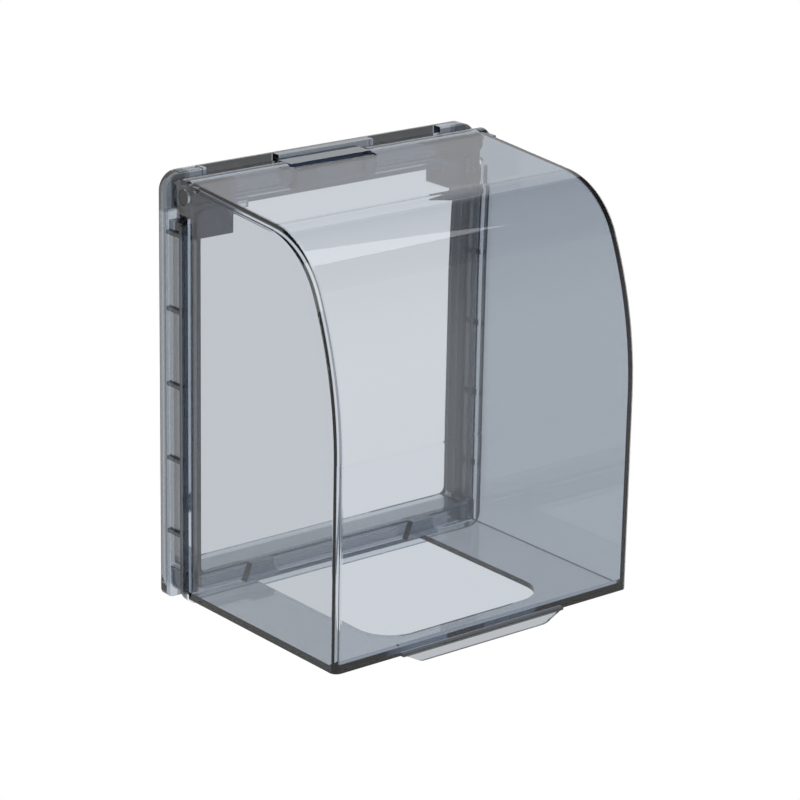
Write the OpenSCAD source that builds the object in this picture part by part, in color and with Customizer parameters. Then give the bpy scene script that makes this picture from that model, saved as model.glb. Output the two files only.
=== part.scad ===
// Weatherproof flip cover for a wall socket or switch: an open rectangular base frame that sticks
// to the wall, and a deep clear hood hinged along its top edge that lifts up and back.
// Units are millimetres. X runs right, Y runs into the wall, Z runs up.
// The origin is the middle of the wall face. Heights in this file count from the frame's bottom edge.

/* [Overall] */
// Width of the base frame, the widest part
frame_w = 100; // [90:1:125]
// Height of the base frame
frame_h = 113.4; // [105:0.2:150]
// Depth from the wall to the front of the hood
cover_d = 72; // [62:1:90]

/* [Base frame] */
// Depth of the frame from the wall to its front rim
frame_d = 10.2; // [9.6:0.1:12.6]
// Radius of the frame's outer corners
frame_corner_r = 5; // [3.5:0.5:7]
// Radius of the rear flange's two bottom corners
foot_corner_r = 2.2; // [1:0.2:5]
// Thickness of the rear flange that lies on the wall
flange_t = 2.5; // [2:0.1:2.9]
// Thickness of the front rim
rim_t = 1.2; // [0.9:0.1:1.6]
// How far the outer channel is sunk below the flange edges
channel_sink = 1.3; // [0.8:0.1:1.8]
// Width of each side member, edge to opening
side_member_w = 5.8; // [5.4:0.1:6.8]
// Height of the bottom member, edge to opening
bottom_member_h = 8.5; // [7.2:0.1:10]
// Height of the top member, edge to opening
top_member_h = 9.6; // [9.3:0.1:10.8]
// Radius of the corners of the opening
opening_r = 2; // [1:0.5:4]
// How far the inner lip stands forward of the rim, inside the hood
lip_out = 1.3; // [0.8:0.1:2]
// Thickness of the walls of the frame's members
member_wall = 1.2; // [1:0.1:1.4]
// Number of small ribs in each side channel
rib_count = 5; // [3:1:7]
// Thickness of each channel rib
rib_t = 1; // [0.8:0.1:1.6]
// Distance of the lowest rib above the frame's bottom edge
rib_low = 18.8; // [14:0.1:22]
// Distance of the highest rib below the frame's top edge
rib_high = 15; // [14.6:0.1:20]
// Length of each pocket sunk in the top edge
pocket_len = 22.6; // [16:0.2:24]
// Distance of each pocket's middle from the centre of the frame
pocket_x = 26.6; // [25:0.2:28]
// Depth of the pockets, measured down from the top edge
pocket_deep = 4; // [2.5:0.5:5]
// Number of fine grip ridges on the top left corner
grip_count = 11; // [6:1:11]
// Spacing of the fine grip ridges
grip_pitch = 0.98; // [0.9:0.02:1]

/* [Hinge] */
// Distance of the hinge axis in front of the wall
axis_y = 8.6; // [8.3:0.1:9.2]
// Distance of the hinge axis below the frame's top edge
axis_drop = 5.2; // [5.1:0.1:5.8]
// Outer radius of the hood's hinge roll and ears
roll_r = 4.6; // [4.3:0.1:4.7]
// Thickness of the hinge roll's shell
roll_t = 1.5; // [1.2:0.1:1.6]
// Radius of the hinge pins
pin_r = 2; // [1.5:0.1:2.2]
// Running clearance on the pin's radius
pin_clear = 0.06; // [0.03:0.01:0.1]
// Left end of the fixed block between the two rolls
block_x0 = -17.2; // [-20:0.4:-12]
// Right end of the fixed block between the two rolls
block_x1 = 9; // [6:0.5:16]
// Width of the stepped blocks in the top corners
corner_block_w = 10; // [8:0.5:13]
// Height of the stepped blocks in the top corners
corner_block_h = 6; // [4:0.5:8]

/* [Hood] */
// Outer width of the hood
hood_w = 96.8; // [88:0.1:97.4]
// Thickness of the hood's walls
hood_t = 1.8; // [1.5:0.1:2.2]
// Thickness of the hood's floor
floor_t = 1.5; // [1.2:0.1:2]
// Height of the hood's underside above the frame's bottom edge
hood_z0 = 1.8; // [1.2:0.1:2.4]
// Outer radius of the hood's edges where the sides meet the front and top
edge_r = 2; // [1.85:0.05:2.6]
// Inner radius of the same edges
inner_r = 0.6; // [0.3:0.1:1]
// Length of the straight lower front, from the underside up
front_straight = 53.3; // [46:0.1:56]
// Radius of the long upper curve of the front
front_r = 100.5; // [90:0.5:125]
// Angle the long curve turns through
front_turn = 24.3; // [19:0.1:26]
// Slope of the hood's top, falling to the front
top_slope = 4.8; // [2.5:0.1:5.2]
// Working gap between the hood and the frame
gap = 0.3; // [0.2:0.05:0.4]

/* [Cable cut-out and finger tab] */
// Half width of the cable cut-out in the floor
cut_half_w = 27.7; // [18:0.1:32]
// Distance of the cut-out's front edge behind the front of the hood
cut_front = 8.2; // [5:0.1:14]
// Radius of the cut-out's front corners
cut_r = 9.5; // [4:0.5:14]
// Half width of the finger tab where it joins the front
tab_half_w = 27; // [18:0.5:32]
// How far the finger tab hangs below the frame's bottom edge
tab_drop = 1.6; // [1:0.1:3]
// How far each end of the tab slopes in
tab_slope_w = 6.4; // [4:0.2:8]
// Thickness of the tab's plate
tab_t = 1.2; // [1:0.1:1.4]

/* [Wall tape] */
// Thickness of the foam tape
tape_t = 0.8; // [0.6:0.1:1]
// Width of the tape ring on the side members
tape_w = 3.9; // [3:0.1:3.9]

/* [Hidden] */
// Node to build, or all of them
// Facet counts, used only where the shape is drawn on screen
$fn = 64;
// A little more than nothing, for cuts that must run past a face
over = 0.5;
// The frame stands off the wall by the part of the tape that is not sunk in it
tape_proud = 0.3;
flange_front = tape_proud + flange_t;
rim_back = frame_d - rim_t;
half_w = frame_w / 2;
// How far one piece of a moulding is sunk in the next, so that they are one solid
bite = 0.2;
rib_pitch = (frame_h - rib_low - rib_high) / (rib_count - 1);
rib_back = 0.4;
core_end = 3;
grip_half = 0.25;
grip_deep = 0.35;
open_x = half_w - side_member_w;
open_z0 = bottom_member_h;
open_z1 = frame_h - top_member_h;
// Hood outline: front face, long curve, tight bend, sloping top
hood_x = hood_w / 2;
axis_z = frame_h - axis_drop;
top_turn = 90 - top_slope;
knee_z = hood_z0 + front_straight;
bend_y = -cover_d + front_r * (1 - cos(front_turn));
bend_z = knee_z + front_r * sin(front_turn);
// The tight bend's radius is whatever brings the top up to its height above the hinge
top_rise = roll_r - 0.3;
top_at_axis = axis_z + top_rise;
bend_run = -axis_y - bend_y;
bend_r = (top_at_axis - bend_z - bend_run * tan(top_slope))
    / (sin(top_turn) - sin(front_turn) - (cos(front_turn) - cos(top_turn)) * tan(top_slope));
top_y = bend_y + bend_r * (cos(front_turn) - cos(top_turn));
top_z = bend_z + bend_r * (sin(top_turn) - sin(front_turn));
hood_back = frame_d + gap;
leg = edge_r + 2.5;
side_lap = 1;
lip_z0 = hood_z0 + floor_t + gap + 0.1;
// Overlap of neighbouring lengths of the skin, and the hair by which every other one is smaller
hair = 0.02;
lap = 0.1;
lap_turn = 0.1;
// Hinge sizes
spine_r = roll_r - roll_t - 0.4;
tail_turn = 35;
crease_turn = 55;
block_r = roll_r + 0.5;
shelf_top = axis_z - roll_r * sin(tail_turn) - 0.17;
notch_rise = top_rise - hood_t;
notch_y = axis_y + sqrt((block_r + gap + 0.1) * (block_r + gap + 0.1) - notch_rise * notch_rise);
ear_cut_z = axis_z - roll_r - 2.2;
pocket_wall = 0.8;
plate_front = axis_y - roll_r - gap;
pin_short = 0.1;
web_front = 1.5;
web_back = 1;
web_bite = 0.8;
block_sunk = 0.7;
window_left = 6.5;
window_right = 3.5;
window_wall = 0.6;
window_half = 2.5;
arm_reach = roll_r + 1;
arm_top = 0.7;
arm_low = 3;
// Steps beside the corner blocks, and the tongues over the hood's floor
step_w = 4.5;
step_t = 1.7;
tongue_in = 1.7;
tongue_out = 2.2;
tongue_half = 5.4;
tongue_slope = 2;
// Tape corners
tape_outer_r = 3.4;
tape_inner_r = 1.5;
// Floor corner and finger tab
corner_leg = 1.4;
tab_front = 0.5;
tab_back = tab_front + tab_t;
tab_corner_r = 5;
root_in = 0.6;
root_back = 3.4;
root_drop = 0.9;

// Places a shape drawn from the frame's bottom edge so that the origin is the middle of the wall face
module placed() {
    translate([0, 0, -frame_h / 2]) children();
}

// Box between two corners
module box(x0, x1, y0, y1, z0, z1) {
    translate([x0, y0, z0]) cube([x1 - x0, y1 - y0, z1 - z0]);
}

// Round bar along X
module x_bar(r, y, z, x0, x1) {
    translate([x0, y, z]) rotate([0, 90, 0]) cylinder(r = r, h = x1 - x0);
}

// Plate with rounded corners, its outline in X and Z and its thickness in Y
module round_plate(x, z0, z1, r, y0, y1) {
    two_radius_plate(x, z0, z1, r, r, y0, y1);
}

// The same with one radius for the bottom corners and another for the top ones
module two_radius_plate(x, z0, z1, r_low, r_top, y0, y1) {
    middle = (z0 + z1) / 2;
    box(-x + r_top, x - r_top, y0, y1, middle, z1);
    box(-x + r_low, x - r_low, y0, y1, z0, middle);
    box(-x, x, y0, y1, z0 + r_low, z1 - r_top);
    for (side = [-1, 1]) {
        translate([side * (x - r_low), y1, z0 + r_low]) rotate([90, 0, 0]) cylinder(r = r_low, h = y1 - y0);
        translate([side * (x - r_top), y1, z1 - r_top]) rotate([90, 0, 0]) cylinder(r = r_top, h = y1 - y0);
    }
}

// Straight prism along X with its outline given in Y and Z
module x_prism(points, x0, x1) {
    translate([x0, 0, 0]) rotate([90, 0, 90]) linear_extrude(height = x1 - x0) polygon(points);
}

// Frame blank: rear flange, sunk channel all round, front rim and the lip that goes inside the hood
module frame_blank() {
    two_radius_plate(half_w, 0, frame_h, foot_corner_r, frame_corner_r, -flange_front, -tape_proud);
    round_plate(half_w, 0, frame_h, frame_corner_r, -frame_d, -rim_back);
    round_plate(half_w - channel_sink, channel_sink, frame_h - channel_sink,
        frame_corner_r - channel_sink, -rim_back - over, -flange_front + over);
    round_plate(open_x + member_wall, lip_z0, open_z1 + member_wall,
        opening_r + member_wall, -frame_d - lip_out, -rim_back);
}

// Small ribs across the side channels
module channel_ribs() {
    for (side = [-1, 1]) {
        for (i = [0:rib_count - 1]) {
            z = rib_low + i * rib_pitch;
            mirror([side < 0 ? 0 : 1, 0, 0])
                box(-half_w + rib_back, -half_w + channel_sink + over, -rim_back - bite,
                    -flange_front + bite, z - rib_t / 2, z + rib_t / 2);
        }
    }
}

// Grooves cored from the back that leave the members as two thin walls
module back_cores() {
    for (side = [-1, 1]) {
        mirror([side < 0 ? 0 : 1, 0, 0])
            box(-half_w + channel_sink + member_wall, -open_x - member_wall,
                -rim_back, 0, bottom_member_h, ear_cut_z - core_end);
    }
    box(-open_x, open_x, -rim_back, 0, channel_sink + member_wall, bottom_member_h - member_wall);
}

// Room cut in the top of the frame for the hood's ears, hinge rolls and top panel
module hinge_room() {
    box(-half_w - over, half_w + over, -frame_d - lip_out - over, -flange_front, shelf_top, frame_h + over);
    for (side = [-1, 1]) {
        mirror([side < 0 ? 0 : 1, 0, 0])
            box(-half_w - over, -hood_x + hood_t + gap, -frame_d - lip_out - over,
                -flange_front, ear_cut_z, frame_h + over);
    }
}

// Sunk pockets in the top edge, behind the hinge rolls
module top_pockets() {
    for (side = [-1, 1]) {
        box(side * pocket_x - pocket_len / 2, side * pocket_x + pocket_len / 2,
            -plate_front - over, -tape_proud - pocket_wall, frame_h - pocket_deep, frame_h + over);
    }
}

// Thicker top edge behind the rolls
module top_edge() {
    intersection() {
        round_plate(half_w, 0, frame_h, frame_corner_r, -plate_front, -tape_proud);
        box(-half_w, half_w, -frame_d, 0, shelf_top - 1, frame_h);
    }
}

// Fine ridges on the top left corner: the grooves between them
module grip_grooves() {
    first = -pocket_x - pocket_len / 2 - grip_half;
    for (i = [1:grip_count - 1]) {
        x = first - i * grip_pitch;
        translate([x, 0, 0])
            box(-grip_half, grip_half, -plate_front - over, over, frame_h - grip_deep, frame_h + over);
    }
}

// Spine the hood turns on: a thick rod on a low shelf, ending in the two hinge pins
module hinge_spine() {
    spine_x = hood_x - hood_t - gap;
    x_bar(spine_r, -axis_y, axis_z, -spine_x, spine_x);
    x_bar(pin_r, -axis_y, axis_z, -hood_x + pin_short, hood_x - pin_short);
    box(-spine_x, spine_x, -axis_y - web_front, -axis_y + web_back, shelf_top - member_wall,
        axis_z - spine_r + web_bite);
}

// Fixed block that fills the space between the two rolls
module middle_block() {
    level = frame_h - block_sunk;
    low = shelf_top - block_sunk;
    inner_x0 = block_x0 + gap;
    inner_x1 = block_x1 - gap;
    difference() {
        intersection() {
            union() {
                x_bar(block_r, -axis_y, axis_z, inner_x0, inner_x1);
                box(inner_x0, inner_x1, -axis_y, -flange_front + bite, low, level);
            }
            box(inner_x0 - over, inner_x1 + over, -cover_d, 0, low, level);
        }
        box(inner_x0 + window_left, inner_x1 - window_right, -cover_d, -axis_y - spine_r - window_wall,
            axis_z - window_half, axis_z + window_half);
    }
}

// Stepped blocks that stiffen the top corners of the opening
module corner_blocks() {
    for (side = [-1, 1]) {
        mirror([side < 0 ? 0 : 1, 0, 0]) {
            box(-open_x - over, -open_x + corner_block_w, -frame_d - lip_out, -flange_front + bite,
                open_z1 - corner_block_h, open_z1 + over);
            box(-open_x + corner_block_w - over, -open_x + corner_block_w + step_w, -frame_d,
                -frame_d + step_t, open_z1 - step_t, open_z1 + over);
        }
    }
}

// Two tongues on the lip that reach over the hood's floor beside the cable cut-out
module floor_tongues() {
    narrow = tongue_half - tongue_slope;
    for (side = [-1, 1]) {
        translate([side * (cut_half_w - tongue_in), -frame_d - lip_out + bite, 0])
            rotate([90, 0, 0])
                linear_extrude(height = tongue_out + bite)
                    polygon([[-tongue_half, lip_z0], [tongue_half, lip_z0],
                        [narrow, bottom_member_h], [-narrow, bottom_member_h]]);
    }
}

// Shallow seat for the tape in the back of the frame
module tape_ring(y0, y1, spare) {
    side = tape_w / 2;
    mid = half_w - side_member_w / 2;
    low_mid = bottom_member_h / 2;
    high_mid = frame_h - bottom_member_h / 2;
    difference() {
        round_plate(mid + side + spare, low_mid - side - spare, high_mid + side + spare,
            tape_outer_r, y0, y1);
        round_plate(mid - side - spare, low_mid + side + spare, high_mid - side - spare,
            tape_inner_r, y0 - over, y1 + over);
    }
}

// Base frame, one clear moulding
module base_frame() {
    color([0.42, 0.45, 0.5, 0.6])
    placed()
    difference() {
        union() {
            difference() {
                union() {
                    frame_blank();
                    channel_ribs();
                }
                hinge_room();
                round_plate(open_x, open_z0, open_z1, opening_r, -frame_d - lip_out - over, over);
            }
            top_edge();
            hinge_spine();
            middle_block();
            corner_blocks();
            floor_tongues();
        }
        back_cores();
        top_pockets();
        grip_grooves();
        tape_ring(-tape_t, 0, lap);
    }
}

// Cross-section of the hood's skin: the sheet and the start of both side walls, outer corners rounded.
// The inset shrinks it a hair, so that neighbouring lengths overlap instead of only touching
module skin_section(inset) {
    half = hood_x - inset;
    hollow = hood_x - hood_t + inset;
    r = edge_r - inset;
    difference() {
        union() {
            translate([-half, edge_r]) square([2 * half, leg - edge_r]);
            translate([-hood_x + edge_r, inset]) square([hood_w - 2 * edge_r, edge_r]);
            for (side = [-1, 1]) {
                translate([side * (hood_x - edge_r), edge_r]) circle(r = r);
            }
        }
        translate([-hollow, hood_t - inset + inner_r]) square([2 * hollow, leg]);
        translate([-hollow + inner_r, hood_t - inset]) square([2 * hollow - 2 * inner_r, 2 * inner_r]);
        for (side = [-1, 1]) {
            translate([side * (hollow - inner_r), hood_t - inset + inner_r]) circle(r = inner_r);
        }
    }
}

// The curved skin: straight front, long curve, tight bend and sloping top, each swept exactly
module hood_skin() {
    top_len = (-hood_back - top_y) / cos(top_slope);
    translate([0, -cover_d, hood_z0]) linear_extrude(height = front_straight) skin_section(0);
    translate([0, -cover_d + front_r, knee_z]) rotate([0, 90, 0]) rotate([0, 0, 270 - front_turn - lap_turn])
        rotate_extrude(angle = front_turn + 2 * lap_turn, $fn = 256)
            translate([front_r, 0]) rotate(90) skin_section(hair);
    translate([0, bend_y + bend_r * cos(front_turn), bend_z - bend_r * sin(front_turn)])
        rotate([0, 90, 0]) rotate([0, 0, 270 - top_turn])
            rotate_extrude(angle = top_turn - front_turn, $fn = 128)
                translate([bend_r, 0]) rotate(90) skin_section(0);
    translate([0, top_y, top_z]) rotate([top_slope - 90, 0, 0])
        translate([0, 0, -lap]) linear_extrude(height = top_len + lap) skin_section(hair);
}

// Solid filled outline of the hood, drawn in from its outer face by the given amount
module hood_fill(inset, x0, x1, back) {
    y_front = -cover_d + inset;
    out = bend_r / 2;
    p2 = [-cover_d + front_r - (front_r - inset) * cos(front_turn), knee_z + (front_r - inset) * sin(front_turn)];
    c2 = [bend_y + bend_r * cos(front_turn), bend_z - bend_r * sin(front_turn)];
    p3 = [c2[0] - (bend_r - inset) * cos(top_turn), c2[1] + (bend_r - inset) * sin(top_turn)];
    p4 = [-back, p3[1] + (-back - p3[0]) * tan(top_slope)];
    x_prism([[y_front, hood_z0], [y_front, knee_z], p2, p3, p4, [-back, hood_z0]], x0, x1);
    intersection() {
        x_bar(front_r - inset, -cover_d + front_r, knee_z, x0, x1);
        x_prism([[y_front - out, knee_z], [p2[0] - out, p2[1]], [p2[0] + over, p2[1]],
            [y_front + over, knee_z]], x0, x1);
    }
    intersection() {
        x_bar(bend_r - inset, c2[0], c2[1], x0, x1);
        x_prism([p2, [p2[0] - out, p2[1]], [p2[0] - out, p3[1] + out], [p3[0], p3[1] + out], p3], x0, x1);
    }
}

// Flat side walls inside the rounded skin
module hood_sides() {
    inset = leg - side_lap;
    for (side = [-1, 1]) {
        x0 = side < 0 ? -hood_x + hair / 2 : hood_x - hood_t + hair / 2;
        hood_fill(inset, x0, x0 + hood_t - hair, hood_back);
    }
}

// Floor of the hood with the round-cornered cut-out for cables, open at the back
module hood_floor() {
    front = -cover_d + cut_front;
    difference() {
        box(-hood_x + hood_t / 2, hood_x - hood_t / 2, -cover_d + hood_t / 2, -hood_back,
            hood_z0, hood_z0 + floor_t);
        box(-cut_half_w, cut_half_w, front + cut_r, over, hood_z0 - over, hood_z0 + floor_t + over);
        box(-cut_half_w + cut_r, cut_half_w - cut_r, front, over, hood_z0 - over, hood_z0 + floor_t + over);
        for (side = [-1, 1]) {
            translate([side * (cut_half_w - cut_r), front + cut_r, hood_z0 - over])
                cylinder(r = cut_r, h = floor_t + 2 * over);
        }
    }
}

// Sloped corner that thickens the joint of floor and front
module floor_corner() {
    y0 = -cover_d + hood_t;
    z0 = hood_z0 + floor_t;
    x_prism([[y0 - lap, z0 - lap], [y0 + corner_leg + lap, z0 - lap], [y0 - lap, z0 + corner_leg + lap]],
        -hood_x + hood_t / 2, hood_x - hood_t / 2);
}

// Finger tab: a thin plate under the front with sloped ends and rounded corners, on a thick root
module finger_tab() {
    low = -tab_drop;
    top = hood_z0 + floor_t / 2;
    slope = atan2(hood_z0 - low, tab_slope_w);
    corner = tab_half_w - tab_slope_w;
    reach = tab_corner_r * tan(slope / 2);
    translate([0, -cover_d + tab_back, 0]) rotate([90, 0, 0]) linear_extrude(height = tab_t) {
        polygon([[-tab_half_w, top], [-tab_half_w, hood_z0],
            [-corner - reach * cos(slope), low + reach * sin(slope)], [-corner + reach, low],
            [corner - reach, low], [corner + reach * cos(slope), low + reach * sin(slope)],
            [tab_half_w, hood_z0], [tab_half_w, top]]);
        intersection() {
            union() {
                translate([-corner + reach, low + tab_corner_r]) circle(r = tab_corner_r);
                translate([corner - reach, low + tab_corner_r]) circle(r = tab_corner_r);
            }
            translate([-tab_half_w, low - over]) square([2 * tab_half_w, top - low + over]);
        }
    }
    box(-tab_half_w + root_in, tab_half_w - root_in, -cover_d + tab_front, -cover_d + root_back,
        hood_z0 - root_drop, hood_z0 + floor_t / 2);
}

// Ears at the top rear corners and the curled rolls between them
module hinge_rolls() {
    for (side = [-1, 1]) {
        x0 = side < 0 ? -hood_x : hood_x - hood_t;
        x_bar(roll_r, -axis_y, axis_z, x0, x0 + hood_t);
        x_prism([[-axis_y - arm_reach, axis_z + top_rise - arm_top], [-axis_y, axis_z + top_rise - arm_top],
            [-axis_y, axis_z - roll_r + arm_top], [-axis_y - arm_reach, axis_z - roll_r - arm_low]],
            x0, x0 + hood_t);
    }
    roll_shell(-hood_x + hood_t / 2, block_x0);
    roll_shell(block_x1, hood_x - hood_t / 2);
}

// One curled roll: a length of thick tube cut to the arc it needs
module roll_shell(x0, x1) {
    far = 3 * roll_r;
    intersection() {
        difference() {
            x_bar(roll_r, -axis_y, axis_z, x0, x1);
            x_bar(roll_r - roll_t, -axis_y, axis_z, x0 - over, x1 + over);
        }
        x_prism([[-axis_y, axis_z], [-axis_y - far * sin(crease_turn), axis_z + far * cos(crease_turn)],
            [-axis_y, axis_z + far], [-axis_y + far * sin(tail_turn), axis_z + far * cos(tail_turn)]], x0, x1);
    }
}

// Flip hood, one clear moulding
module flip_hood() {
    color([0.42, 0.45, 0.5, 0.45])
    placed()
    difference() {
        union() {
            hood_skin();
            hood_sides();
            hood_floor();
            floor_corner();
            finger_tab();
            hinge_rolls();
        }
        box(block_x0, block_x1, -notch_y, over, axis_z - pin_r, frame_h + over);
        x_bar(pin_r + pin_clear, -axis_y, axis_z, -hood_x - over, hood_x + over);
        x_bar(roll_r - roll_t, -axis_y, axis_z, -hood_x + hood_t, hood_x - hood_t);
    }
}

// Foam tape ring that fixes the frame to the wall
module wall_tape() {
    color([0.86, 0.86, 0.84])
    placed() tape_ring(-tape_t, 0, 0);
}

base_frame();
flip_hood();
wall_tape();
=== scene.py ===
# %% [markdown]
# # The looks of a weatherproof flip cover
#
# A weatherproof flip cover keeps rain off a socket or a switch on an outside wall.
# It is two mouldings of clear smoke-grey plastic and one ring of foam:
# a flat channelled frame on the wall, and a deep hood that hangs on it and lifts like a lid.
# Nearly all that you see is that tinted plastic, so most of this script is about light:
# how much of it the walls let through, and what they mirror.

# %% The pieces from the CAD model
import math
import bpy
from mathutils import Matrix, Vector


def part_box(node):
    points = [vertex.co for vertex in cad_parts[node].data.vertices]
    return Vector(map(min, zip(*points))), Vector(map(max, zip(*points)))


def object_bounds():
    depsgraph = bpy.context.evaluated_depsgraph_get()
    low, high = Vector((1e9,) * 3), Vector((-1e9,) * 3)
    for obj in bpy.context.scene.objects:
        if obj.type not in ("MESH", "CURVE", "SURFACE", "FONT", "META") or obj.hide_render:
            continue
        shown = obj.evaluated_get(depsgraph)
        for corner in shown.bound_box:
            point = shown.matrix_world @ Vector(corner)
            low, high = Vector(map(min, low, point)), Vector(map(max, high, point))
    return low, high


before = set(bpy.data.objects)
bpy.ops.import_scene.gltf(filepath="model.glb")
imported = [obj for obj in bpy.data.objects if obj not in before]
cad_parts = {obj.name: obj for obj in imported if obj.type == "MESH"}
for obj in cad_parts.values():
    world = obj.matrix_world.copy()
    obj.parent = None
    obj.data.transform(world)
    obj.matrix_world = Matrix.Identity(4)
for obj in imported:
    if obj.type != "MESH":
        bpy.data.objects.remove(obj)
cad_low, cad_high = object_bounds()
print("CAD pieces:", ", ".join(sorted(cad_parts)))
print("CAD box in mm:", [round((b - a) * 1000, 1) for a, b in zip(cad_low, cad_high)])

# %% [markdown]
# ## Small tools
#
# A node tree is a chain of small steps, so a few helpers keep the cells below short.
# The first ones make a node and fill in its sockets, join two sockets,
# and make an empty group with named ways out.

# %% Node helpers
def add_node(tree, kind, **settings):
    """A node of this kind. A setting that names a socket fills it, any other one is the node's own."""
    node = tree.nodes.new(kind)
    for name, value in settings.items():
        socket_name = name.replace("_", " ").title()
        if socket_name in node.inputs:
            node.inputs[socket_name].default_value = value
        else:
            setattr(node, name, value)
    return node


def join(tree, start, end):
    """Joins an output socket to an input socket."""
    tree.links.new(start, end)


def new_group(name, ways_out):
    """An empty shader group with these outputs, as (name, socket type)."""
    group = bpy.data.node_groups.new(name, "ShaderNodeTree")
    for socket_name, socket_type in ways_out:
        group.interface.new_socket(name=socket_name, in_out="OUTPUT", socket_type=socket_type)
    return group


# %% [markdown]
# Sums are written as they are read: an operation and what goes into it.
# A value may be a socket, which is joined, or a plain number or vector, which is typed in.

# %% Sum helpers
def work_out(tree, kind, operation, values):
    """The result of one Math or Vector Math node."""
    node = add_node(tree, kind, operation=operation)
    for socket, value in zip(node.inputs, values):
        if isinstance(value, bpy.types.NodeSocket):
            join(tree, value, socket)
        else:
            socket.default_value = value
    return node.outputs[0]


def number(tree, operation, *values):
    """One step of arithmetic on numbers."""
    return work_out(tree, "ShaderNodeMath", operation, values)


def vector(tree, operation, *values):
    """One step of arithmetic on vectors."""
    return work_out(tree, "ShaderNodeVectorMath", operation, values)


def split_up(tree, socket):
    """The X, Y and Z sockets of a vector."""
    node = add_node(tree, "ShaderNodeSeparateXYZ")
    join(tree, socket, node.inputs[0])
    return node.outputs["X"], node.outputs["Y"], node.outputs["Z"]


# %% [markdown]
# ## The skin of a moulded part
#
# Clear mouldings are polished, yet never perfect.
# The plastic shrinks a little as it cools, so a wide wall is faintly wavy,
# and handling leaves fine specks that break up a mirror image.
# One group makes both from the piece's own coordinates, and every clear piece shares it.

# %% Shared moulded skin
WAVE_SCALE = 38.0
WAVE_DETAIL = 1.0
WAVE_HEIGHT = 0.00006
WAVE_STRENGTH = 0.4
SPECK_SCALE = 1800.0
SPECK_DETAIL = 2.0
SPECK_RANGE = (0.45, 0.8)
GLOSS_BEST = 0.012
GLOSS_WORST = 0.05

skin = new_group("moulded_skin", [("Roughness", "NodeSocketFloat"), ("Normal", "NodeSocketVector")])
skin.interface.new_socket(name="Base Normal", in_out="INPUT", socket_type="NodeSocketVector")
skin_in = add_node(skin, "NodeGroupInput")
skin_out = add_node(skin, "NodeGroupOutput")
place = add_node(skin, "ShaderNodeTexCoord")
wave = add_node(skin, "ShaderNodeTexNoise", scale=WAVE_SCALE, detail=WAVE_DETAIL)
speck = add_node(skin, "ShaderNodeTexNoise", scale=SPECK_SCALE, detail=SPECK_DETAIL)
gloss = add_node(
    skin, "ShaderNodeMapRange",
    from_min=SPECK_RANGE[0], from_max=SPECK_RANGE[1], to_min=GLOSS_BEST, to_max=GLOSS_WORST)
bump = add_node(skin, "ShaderNodeBump", strength=WAVE_STRENGTH, distance=WAVE_HEIGHT)
join(skin, place.outputs["Object"], wave.inputs["Vector"])
join(skin, place.outputs["Object"], speck.inputs["Vector"])
join(skin, speck.outputs["Fac"], gloss.inputs["Value"])
join(skin, wave.outputs["Fac"], bump.inputs["Height"])
join(skin, skin_in.outputs["Base Normal"], bump.inputs["Normal"])
join(skin, gloss.outputs["Result"], skin_out.inputs["Roughness"])
join(skin, bump.outputs["Normal"], skin_out.inputs["Normal"])
print("moulded_skin group:", len(skin.nodes), "nodes")

# %% [markdown]
# ## The bevel along the hood's edges
#
# Where the hood's sides meet its front and top, the real moulding has a flat bevel, so the edge
# reads as a bright line between two dark ones. The solid has a plain round there.
# This group turns the smooth run of normals over that round into three flat steps.
# The edges lie square to X, so the share of the normal along X tells how far round the edge a point is.

# %% How far the edge has turned
BEVEL_FIRST = (math.radians(8.0), math.radians(26.0))
BEVEL_SECOND = (math.radians(64.0), math.radians(82.0))
BEVEL_ANGLE = math.radians(45.0)

edge = new_group("bevelled_edge", [("Normal", "NodeSocketVector")])
edge_out = add_node(edge, "NodeGroupOutput")
round_normal = add_node(edge, "ShaderNodeNewGeometry").outputs["Normal"]
normal_x, normal_y, normal_z = split_up(edge, round_normal)
round_angle = number(edge, "ARCSINE", number(edge, "ABSOLUTE", normal_x))


def bevel_step(first, last):
    """Turns by the bevel's whole angle between two angles of the round, and not at all elsewhere."""
    step = add_node(
        edge, "ShaderNodeMapRange", interpolation_type="SMOOTHSTEP",
        from_min=first, from_max=last, to_max=BEVEL_ANGLE)
    join(edge, round_angle, step.inputs["Value"])
    return step.outputs["Result"]


bevel_turn = number(edge, "ADD", bevel_step(*BEVEL_FIRST), bevel_step(*BEVEL_SECOND))
print("bevel steps at", [round(math.degrees(a)) for a in BEVEL_FIRST + BEVEL_SECOND], "degrees")

# %% [markdown]
# The new normal has a part across, which points out at the side, and a part along the front or top,
# which keeps its direction. The angle from the last cell says how long each part is.

# %% The bevel's normal
across = add_node(edge, "ShaderNodeCombineXYZ")
sideways = number(edge, "MULTIPLY", number(edge, "SINE", bevel_turn), number(edge, "SIGN", normal_x))
join(edge, sideways, across.inputs["X"])
along = add_node(edge, "ShaderNodeCombineXYZ")
join(edge, normal_y, along.inputs["Y"])
join(edge, normal_z, along.inputs["Z"])
outward = add_node(edge, "ShaderNodeVectorMath", operation="SCALE")
join(edge, vector(edge, "NORMALIZE", along.outputs[0]), outward.inputs[0])
join(edge, number(edge, "COSINE", bevel_turn), outward.inputs["Scale"])
bevel_normal = vector(edge, "ADD", outward.outputs[0], across.outputs[0])

# %% [markdown]
# Only the outer edges have the bevel, so the distance along X picks out the hood's two sides.
# The flat outer faces lie there too, but the steps leave a normal alone that points along X or
# has no part along X.

# %% Where the bevel is
BEVEL_FROM_X = 0.0466

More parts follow.
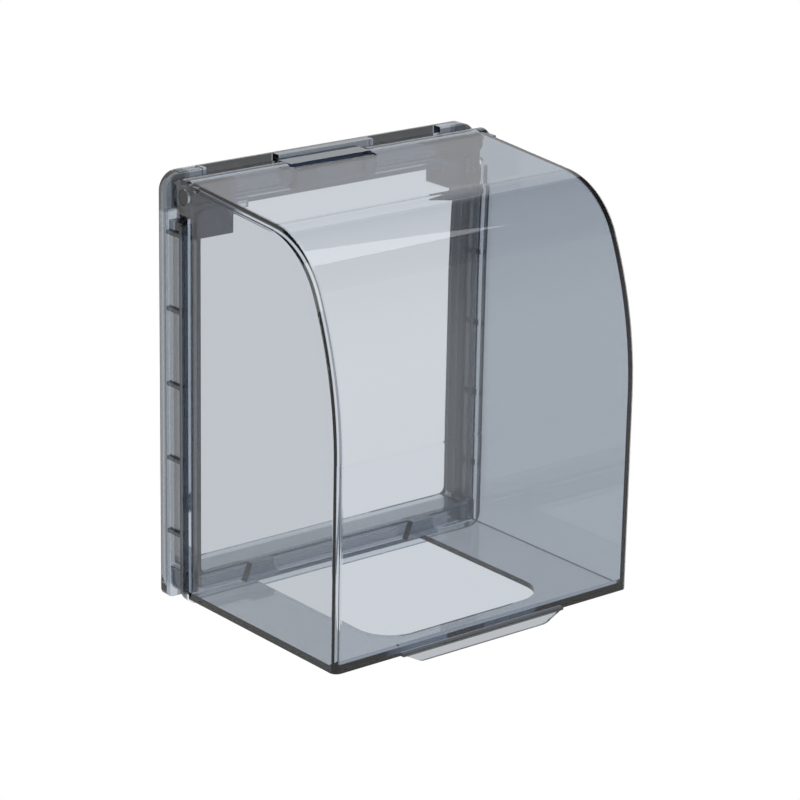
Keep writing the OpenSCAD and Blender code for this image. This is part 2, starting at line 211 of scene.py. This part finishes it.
hood_x, _, _ = split_up(edge, add_node(edge, "ShaderNodeTexCoord").outputs["Object"])
is_edge = number(edge, "GREATER_THAN", number(edge, "ABSOLUTE", hood_x), BEVEL_FROM_X)
choice = add_node(edge, "ShaderNodeMix", data_type="VECTOR")
join(edge, is_edge, choice.inputs["Factor"])
join(edge, round_normal, choice.inputs[4])
join(edge, bevel_normal, choice.inputs[5])
join(edge, choice.outputs[1], edge_out.inputs["Normal"])
print("bevelled_edge group:", len(edge.nodes), "nodes")

# %% [markdown]
# ## Edges that hold their light
#
# Light that enters the rim of a clear sheet is caught inside and runs to the far end,
# so every free edge looks black, and so do the sunk pockets behind the hinge.
# Tracing that would take very many bounces. Instead, a box in the piece's own coordinates
# marks each such place, and a group hands back painted shade for it: a factor that darkens the base
# colour.

# %% Box of painted shade
MM = 0.001


# Painted shade: the colour is darkened inside a box, standing in for light that isn't traced.
def painted_shade_box(tree, colour, low, high, tint):
    """Multiplies a colour by a painted shade factor inside a box, given in mm from the middle of the
    wall face.
    """
    half_size = [(b - a) * MM / 2 for a, b in zip(low, high)]
    middle = [(a + b) * MM / 2 for a, b in zip(low, high)]
    spot = add_node(tree, "ShaderNodeTexCoord").outputs["Object"]
    shares = vector(tree, "DIVIDE", vector(tree, "SUBTRACT", spot, middle), half_size)
    share_x, share_y, share_z = split_up(tree, vector(tree, "ABSOLUTE", shares))
    farthest = number(tree, "MAXIMUM", number(tree, "MAXIMUM", share_x, share_y), share_z)
    mix = add_node(tree, "ShaderNodeMix", data_type="RGBA", blend_type="MULTIPLY")
    mix.inputs[7].default_value = (tint, tint, tint, 1.0)
    join(tree, number(tree, "LESS_THAN", farthest, 1.0), mix.inputs["Factor"])
    join(tree, colour, mix.inputs[6])
    return mix.outputs[2]


def painted_shade_group(name, places):
    """A group that outputs white, darkened by each box of painted shade in turn."""
    group = new_group(name, [("Color", "NodeSocketColor")])
    white = add_node(group, "ShaderNodeRGB")
    white.outputs[0].default_value = (1.0, 1.0, 1.0, 1.0)
    colour = white.outputs[0]
    for low, high, tint in places:
        colour = painted_shade_box(group, colour, low, high, tint)
    join(group, colour, add_node(group, "NodeGroupOutput").inputs["Color"])
    print(name, "group:", len(places), "boxes")
    return group


# %% [markdown]
# The cover is nearly the same left and right, so most places come in pairs.
# Most are measured from the boxes of the CAD pieces, and the others from the middle.
# A box that should take in an outer face runs 5 mm past it.

# %% Places on both sides
BEYOND = 5.0


def both_sides(low, high, tint):
    """The same box of painted shade at the right and mirrored at the left."""
    mirrored = ((-high[0], low[1], low[2]), (-low[0], high[1], high[2]), tint)
    return [(low, high, tint), mirrored]


def box_in_mm(node_name):
    """The two corners of a CAD piece's box, in mm."""
    return [[value / MM for value in corner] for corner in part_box(node_name)]


(_, hood_front, hood_bottom), (hood_right, hood_back, hood_top) = box_in_mm("flip_hood")
(_, _, frame_bottom), (frame_right, _, frame_top) = box_in_mm("base_frame")
print("hood's right side and front in mm:", round(hood_right, 1), round(hood_front, 1))

# %% [markdown]
# On the hood, painted shade makes the bottom edges of the sides and of the front nearly black.
# Painted shade also makes the side walls and the floor a touch darker than the front, and the finger
# tab too.

# %% Painted shade on the hood
WALL = 1.8
FLOOR_WALL = 1.5
FLOOR_RISE = 1.8
HAIR = 0.1
FOOT_HIGH = 0.9
SIDE_FOOT_LOW = 0.2
FRONT_FOOT_LOW = 0.95
# Painted shade: how much of its brightness each place keeps, as a factor on the base colour.
FLOOR_SHADE = 0.8
SIDE_SHADE = 0.88
SIDE_FOOT_SHADE = 0.05
FRONT_FOOT_SHADE = 0.03
TAB_SHADE = 0.66

underside = frame_bottom + FLOOR_RISE
inner_x = hood_right - WALL
# Boxes of painted shade on the hood.
hood_shade_boxes = [
    ((-inner_x, hood_front + WALL, underside - HAIR),
     (inner_x, hood_back, underside + FLOOR_WALL + HAIR), FLOOR_SHADE),
    ((-hood_right - BEYOND, hood_front - BEYOND, underside - FRONT_FOOT_LOW),
     (hood_right + BEYOND, hood_front + WALL, underside + FOOT_HIGH), FRONT_FOOT_SHADE),
    ((-hood_right, hood_front - BEYOND, hood_bottom - BEYOND),
     (hood_right, hood_front + WALL, underside - FRONT_FOOT_LOW), TAB_SHADE),
]
hood_shade_boxes += both_sides(
    (inner_x - HAIR, hood_front - BEYOND, hood_bottom - BEYOND),
    (hood_right + BEYOND, hood_back + BEYOND, hood_top + BEYOND), SIDE_SHADE)
hood_shade_boxes += both_sides(
    (inner_x, hood_front - BEYOND, underside - SIDE_FOOT_LOW),
    (hood_right + BEYOND, hood_back, underside + FOOT_HIGH), SIDE_FOOT_SHADE)
hood_shading = painted_shade_group("hood_painted_shade", hood_shade_boxes)

# %% [markdown]
# Painted shade makes two pockets in the top edge of the frame black, and darkens the stretch between
# them less, so it stays paler.

# %% Painted shade in the frame's top edge
TOP_EDGE_FRONT = -4.0
TOP_EDGE_DEEP = 4.3
POCKET_MIDDLE = 26.6
POCKET_HALF = 11.3
# Painted shade in the pockets and between them, as factors on the base colour.
POCKET_SHADE = 0.12
BETWEEN_HALF = 15.0
BETWEEN_SHADE = 0.5

frame_shade_boxes = both_sides(
    (POCKET_MIDDLE - POCKET_HALF, TOP_EDGE_FRONT, frame_top - TOP_EDGE_DEEP),
    (POCKET_MIDDLE + POCKET_HALF, BEYOND, frame_top + BEYOND), POCKET_SHADE)
frame_shade_boxes.append((
    (-BETWEEN_HALF, TOP_EDGE_FRONT, frame_top - TOP_EDGE_DEEP),
    (BETWEEN_HALF, BEYOND, frame_top + BEYOND), BETWEEN_SHADE))

# %% [markdown]
# At the sides, painted shade darkens the flange's outer edge and the rim in front of the channel,
# most of all at its back. Painted shade darkens the lip round the opening too.

# %% Painted shade along the frame's sides
FLANGE_FRONT = -2.8
FLANGE_EDGE = 1.1
# Painted shade on the flange edge, the rim and the lip, as factors on the base colour.
FLANGE_SHADE = 0.5
RIM_BACK = -9.0
RIM_EDGE = 1.4
RIM_SHADE = 0.45
RIM_BACK_EDGE = 1.6
RIM_BACK_RANGE = (-0.3, 0.4)
RIM_BACK_SHADE = 0.15
FRAME_FRONT = -15.0
OPENING_X = 44.2
LIP_RANGE = (-0.2, 1.4)
LIP_TOP_DROP = 9.0
LIP_SHADE = 0.25
CORNER_DROP = 10.0

frame_shade_boxes += both_sides(
    (frame_right - FLANGE_EDGE, FLANGE_FRONT - HAIR, frame_bottom - BEYOND),
    (frame_right + BEYOND, BEYOND, frame_top + BEYOND), FLANGE_SHADE)
frame_shade_boxes += both_sides(
    (frame_right - RIM_BACK_EDGE, RIM_BACK + RIM_BACK_RANGE[0], frame_bottom - BEYOND),
    (frame_right + BEYOND, RIM_BACK + RIM_BACK_RANGE[1], frame_top - CORNER_DROP), RIM_BACK_SHADE)
frame_shade_boxes += both_sides(
    (frame_right - RIM_EDGE, RIM_BACK - BEYOND, frame_bottom - BEYOND),
    (frame_right + BEYOND, RIM_BACK + RIM_BACK_RANGE[0], frame_top - CORNER_DROP), RIM_SHADE)
frame_shade_boxes += both_sides(
    (OPENING_X + LIP_RANGE[0], FRAME_FRONT, frame_bottom),
    (OPENING_X + LIP_RANGE[1], BEYOND, frame_top - LIP_TOP_DROP), LIP_SHADE)

# %% [markdown]
# In the top corners sit the stepped blocks and the hinge pins, where much plastic lies in a row, and
# painted shade darkens them.
# The cross ribs in the side channels are seen edge on, and painted shade makes them nearly black.

# %% Painted shade on the frame's corners and ribs
BLOCK_X = 34.0
BLOCK_EDGE = 1.5
BLOCK_BACK = -3.0
BLOCK_RANGE = (-16.0, -0.5)
# Painted shade on the blocks, the corners and the ribs, as factors on the base colour.
BLOCK_SHADE = 0.2
CORNER_WIDE = 7.0
CORNER_SHADE = 0.45
RIBS = 5
RIB_LOW = 18.8
RIB_PITCH = 19.9
RIB_HALF = 0.8
RIB_SHADE = 0.1

frame_shade_boxes += both_sides(
    (BLOCK_X, FRAME_FRONT, frame_top + BLOCK_RANGE[0]),
    (frame_right - BLOCK_EDGE, BLOCK_BACK, frame_top + BLOCK_RANGE[1]), BLOCK_SHADE)
frame_shade_boxes += both_sides(
    (frame_right - CORNER_WIDE, FRAME_FRONT, frame_top - CORNER_DROP),
    (frame_right + BEYOND, BEYOND, frame_top + BEYOND), CORNER_SHADE)
for rib in range(RIBS):
    rib_z = frame_bottom + RIB_LOW + rib * RIB_PITCH
    frame_shade_boxes += both_sides(
        (frame_right - RIM_EDGE, RIM_BACK, rib_z - RIB_HALF),
        (frame_right + BEYOND, FLANGE_FRONT, rib_z + RIB_HALF), RIB_SHADE)
# The group of painted shade for the frame.
frame_shading = painted_shade_group("frame_painted_shade", frame_shade_boxes)

# %% [markdown]
# ## Smoke-grey clear plastic
#
# The plastic is tinted all through, like tea, not painted.
# So the colour comes from how far light travels inside: a 1.8 mm wall looks pale blue-grey,
# and the same plastic seen along its length is almost black.
# Volume Absorption does just that, and its density sets how fast the light fades. Painted shade from
# the boxes above darkens the base colour on top of that.

# %% Clear plastic material
PLASTIC_IOR = 1.50
TINT_COLOUR = (0.0, 0.12, 0.26, 1.0)
HOOD_DENSITY = 262.0
FRAME_DENSITY = 260.0


def clear_plastic(name, density, bevelled, edge_shading):
    """Refracting plastic with its tint in the volume, painted shade from the boxes in its base colour,
    and the shared moulded skin on top.
    """
    material = bpy.data.materials.new(name)
    material.use_nodes = True
    tree = material.node_tree
    shader = tree.nodes["Principled BSDF"]
    # Painted shade: the boxes darken the base colour, and with it the light that passes through.
    edges = add_node(tree, "ShaderNodeGroup", node_tree=edge_shading)
    join(tree, edges.outputs["Color"], shader.inputs["Base Color"])
    shader.inputs["Metallic"].default_value = 0.0
    shader.inputs["IOR"].default_value = PLASTIC_IOR
    shader.inputs["Transmission Weight"].default_value = 1.0
    surface = add_node(tree, "ShaderNodeGroup", node_tree=skin)
    if bevelled:
        base = add_node(tree, "ShaderNodeGroup", node_tree=edge)
    else:
        base = add_node(tree, "ShaderNodeNewGeometry")
    join(tree, base.outputs["Normal"], surface.inputs["Base Normal"])
    join(tree, surface.outputs["Roughness"], shader.inputs["Roughness"])
    join(tree, surface.outputs["Normal"], shader.inputs["Normal"])
    tint = add_node(tree, "ShaderNodeVolumeAbsorption", color=TINT_COLOUR, density=density)
    join(tree, tint.outputs["Volume"], tree.nodes["Material Output"].inputs["Volume"])
    return material


# %% [markdown]
# Both mouldings are of the same plastic. Only the hood has the bevel along its edges.

# %% Clear plastic on the frame and the hood
for node_name, density, bevelled, edge_shading in (
        ("base_frame", FRAME_DENSITY, False, frame_shading),
        ("flip_hood", HOOD_DENSITY, True, hood_shading)):
    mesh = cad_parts[node_name].data
    mesh.materials.clear()
    mesh.materials.append(clear_plastic("smoke_clear_" + node_name, density, bevelled, edge_shading))
    print("clear plastic on", node_name, "with", density, "per metre")

# %% [markdown]
# ## Foam tape
#
# Behind the frame runs a thin ring of soft foam with glue on both faces.
# It seals the frame to an uneven wall. Foam is matt and full of tiny cells.
# The light that reaches it through the clear frame isn't traced, so a faint glow stands in for it.

# %% Foam material
FOAM_PALE = (0.66, 0.67, 0.68, 1.0)
FOAM_DARK = (0.50, 0.51, 0.53, 1.0)
FOAM_ROUGHNESS = 0.85
FOAM_GLOW = 0.6
CELL_SCALE = 2600.0
CELL_DEEP = 0.0001
CELL_STRENGTH = 0.6

foam = bpy.data.materials.new("foam_tape_grey")
foam.use_nodes = True
foam_tree = foam.node_tree
foam_shader = foam_tree.nodes["Principled BSDF"]
foam_shader.inputs["Roughness"].default_value = FOAM_ROUGHNESS
foam_shader.inputs["Emission Strength"].default_value = FOAM_GLOW
cells = add_node(foam_tree, "ShaderNodeTexVoronoi", scale=CELL_SCALE)
where = add_node(foam_tree, "ShaderNodeTexCoord")
ramp = add_node(foam_tree, "ShaderNodeValToRGB")
ramp.color_ramp.elements[0].color = FOAM_DARK
ramp.color_ramp.elements[1].color = FOAM_PALE
pits = add_node(foam_tree, "ShaderNodeBump", strength=CELL_STRENGTH, distance=CELL_DEEP)
join(foam_tree, where.outputs["Object"], cells.inputs["Vector"])
join(foam_tree, cells.outputs["Distance"], ramp.inputs["Fac"])
join(foam_tree, ramp.outputs["Color"], foam_shader.inputs["Base Color"])
join(foam_tree, ramp.outputs["Color"], foam_shader.inputs["Emission Color"])
join(foam_tree, cells.outputs["Distance"], pits.inputs["Height"])
join(foam_tree, pits.outputs["Normal"], foam_shader.inputs["Normal"])
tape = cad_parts["wall_tape"]
tape.data.materials.clear()
tape.data.materials.append(foam)
print("foam on wall_tape")

# %% [markdown]
# ## A white room
#
# The photo has a pure white background. The floor and the backdrop therefore show white
# to the camera, in mirrors and through the clear walls, while to all other light they are
# plain pale paint. A glow of strength 1 is just white.

# %% White paint
PAINT = (0.8, 0.8, 0.8, 1.0)
PAINT_ROUGHNESS = 0.9


def white_stage(name):
    """Pale paint that shows white to the camera, in mirrors and through glass."""
    material = bpy.data.materials.new(name)
    material.use_nodes = True
    tree = material.node_tree
    shader = tree.nodes["Principled BSDF"]
    shader.inputs["Base Color"].default_value = PAINT
    shader.inputs["Roughness"].default_value = PAINT_ROUGHNESS
    path = add_node(tree, "ShaderNodeLightPath").outputs
    through = number(tree, "MAXIMUM", path["Is Camera Ray"], path["Is Transmission Ray"])
    shown = number(tree, "MAXIMUM", through, path["Is Glossy Ray"])
    glow = add_node(tree, "ShaderNodeEmission", strength=1.0)
    mix = add_node(tree, "ShaderNodeMixShader")
    join(tree, shown, mix.inputs["Fac"])
    join(tree, shader.outputs["BSDF"], mix.inputs[1])
    join(tree, glow.outputs["Emission"], mix.inputs[2])
    join(tree, mix.outputs["Shader"], tree.nodes["Material Output"].inputs["Surface"])
    return material


# %% [markdown]
# Two plain planes are enough for the room. The floor lies a hair below the lowest edge of the
# cover, and the backdrop stands behind it.

# %% Floor and backdrop
FLOOR_DROP = 0.0004
STAGE_SIZE = 3.0
BACKDROP_Y = 0.9
UPRIGHT = (math.radians(90), 0, 0)

bpy.ops.mesh.primitive_plane_add(size=STAGE_SIZE, location=(0, 0, cad_low[2] - FLOOR_DROP))
floor = bpy.context.object
floor.name = "floor"
floor.data.materials.append(white_stage("floor_white"))
bpy.ops.mesh.primitive_plane_add(size=STAGE_SIZE, location=(0, BACKDROP_Y, 0), rotation=UPRIGHT)
backdrop = bpy.context.object
backdrop.name = "backdrop"
backdrop.data.materials.append(white_stage("backdrop_white"))
print("floor and backdrop:", STAGE_SIZE, "m wide")

# %% [markdown]
# ## Lamps
#
# Clear plastic is lit by what it mirrors. Two large soft boxes give it long calm
# highlights, and the darker gaps between them draw its corners.
# They show in mirrors only: seen straight through the hood, a lamp would be a hard white patch.

# %% Soft boxes
def soft_box(name, place, width, height, power):
    """A rectangular lamp at place that faces the middle of the wall face."""
    bpy.ops.object.light_add(type="AREA", location=place)
    lamp = bpy.context.object
    lamp.name = name
    lamp.data.shape = "RECTANGLE"
    lamp.data.size = width
    lamp.data.size_y = height
    lamp.data.energy = power
    lamp.rotation_euler = (-Vector(place)).to_track_quat("-Z", "Y").to_euler()
    lamp.visible_camera = False
    lamp.visible_transmission = False
    print(name, "at", place, "with", power, "W")


soft_box("top_box", place=(0.1, -0.2, 1.0), width=1.0, height=1.0, power=9.0)
soft_box("left_box", place=(-1.0, -0.25, 0.35), width=0.8, height=0.9, power=6.0)

# %% [markdown]
# Above the floor, the room goes on as a sky that is white at the horizon and grey overhead.
# Without that fade, the edge of the floor would show in the hood's front as a hard line.
# The camera itself sees white all over.

# %% Sky
SKY_LOW = 1.0
SKY_HIGH = 0.15
SKY_FADE = (0.02, 0.6)

world = bpy.context.scene.world or bpy.data.worlds.new("studio")
bpy.context.scene.world = world
world.use_nodes = True
sky_tree = world.node_tree
sky = sky_tree.nodes["Background"]
sky.inputs["Color"].default_value = (1.0, 1.0, 1.0, 1.0)
_, _, upward = split_up(sky_tree, add_node(sky_tree, "ShaderNodeTexCoord").outputs["Generated"])
fade = add_node(
    sky_tree, "ShaderNodeMapRange", interpolation_type="SMOOTHSTEP",
    from_min=SKY_FADE[0], from_max=SKY_FADE[1], to_min=SKY_LOW, to_max=SKY_HIGH)
join(sky_tree, upward, fade.inputs["Value"])
seen = add_node(sky_tree, "ShaderNodeLightPath").outputs["Is Camera Ray"]
sky_strength = number(sky_tree, "MAXIMUM", fade.outputs["Result"], seen)
join(sky_tree, sky_strength, sky.inputs["Strength"])
print("sky fades from", SKY_LOW, "to", SKY_HIGH)

# %% [markdown]
# ## The camera
#
# The camera stands where the photographer stood: to the left of the cover and above it,
# with a long lens, so that the edges stay nearly parallel. The place and the turn were worked
# out from the straight edges of the object in the photo and its three known sizes.

# %% Camera
CAMERA_PLACE = Vector((-0.48647, -0.63424, 0.25334))
CAMERA_RIGHT = Vector((0.779807, -0.625764, 0.017905))
CAMERA_UP = Vector((0.184150, 0.256629, 0.948805))
LENS = 142.97
SENSOR = 36.0
SHIFT = (0.00091, -0.00184)
CLIP_START = 0.01

bpy.ops.object.camera_add()
camera = bpy.context.object
camera.name = "photo_camera"
backward = CAMERA_RIGHT.cross(CAMERA_UP).normalized()
turn = Matrix((CAMERA_RIGHT, CAMERA_UP, backward)).transposed()
camera.matrix_world = Matrix.Translation(CAMERA_PLACE) @ turn.to_4x4()
camera.data.lens = LENS
camera.data.sensor_width = SENSOR
camera.data.shift_x, camera.data.shift_y = SHIFT
camera.data.clip_start = CLIP_START
bpy.context.scene.camera = camera
bpy.context.scene.view_settings.view_transform = "Standard"
print("camera", round(CAMERA_PLACE.length, 2), "m away with a lens of", LENS, "mm")
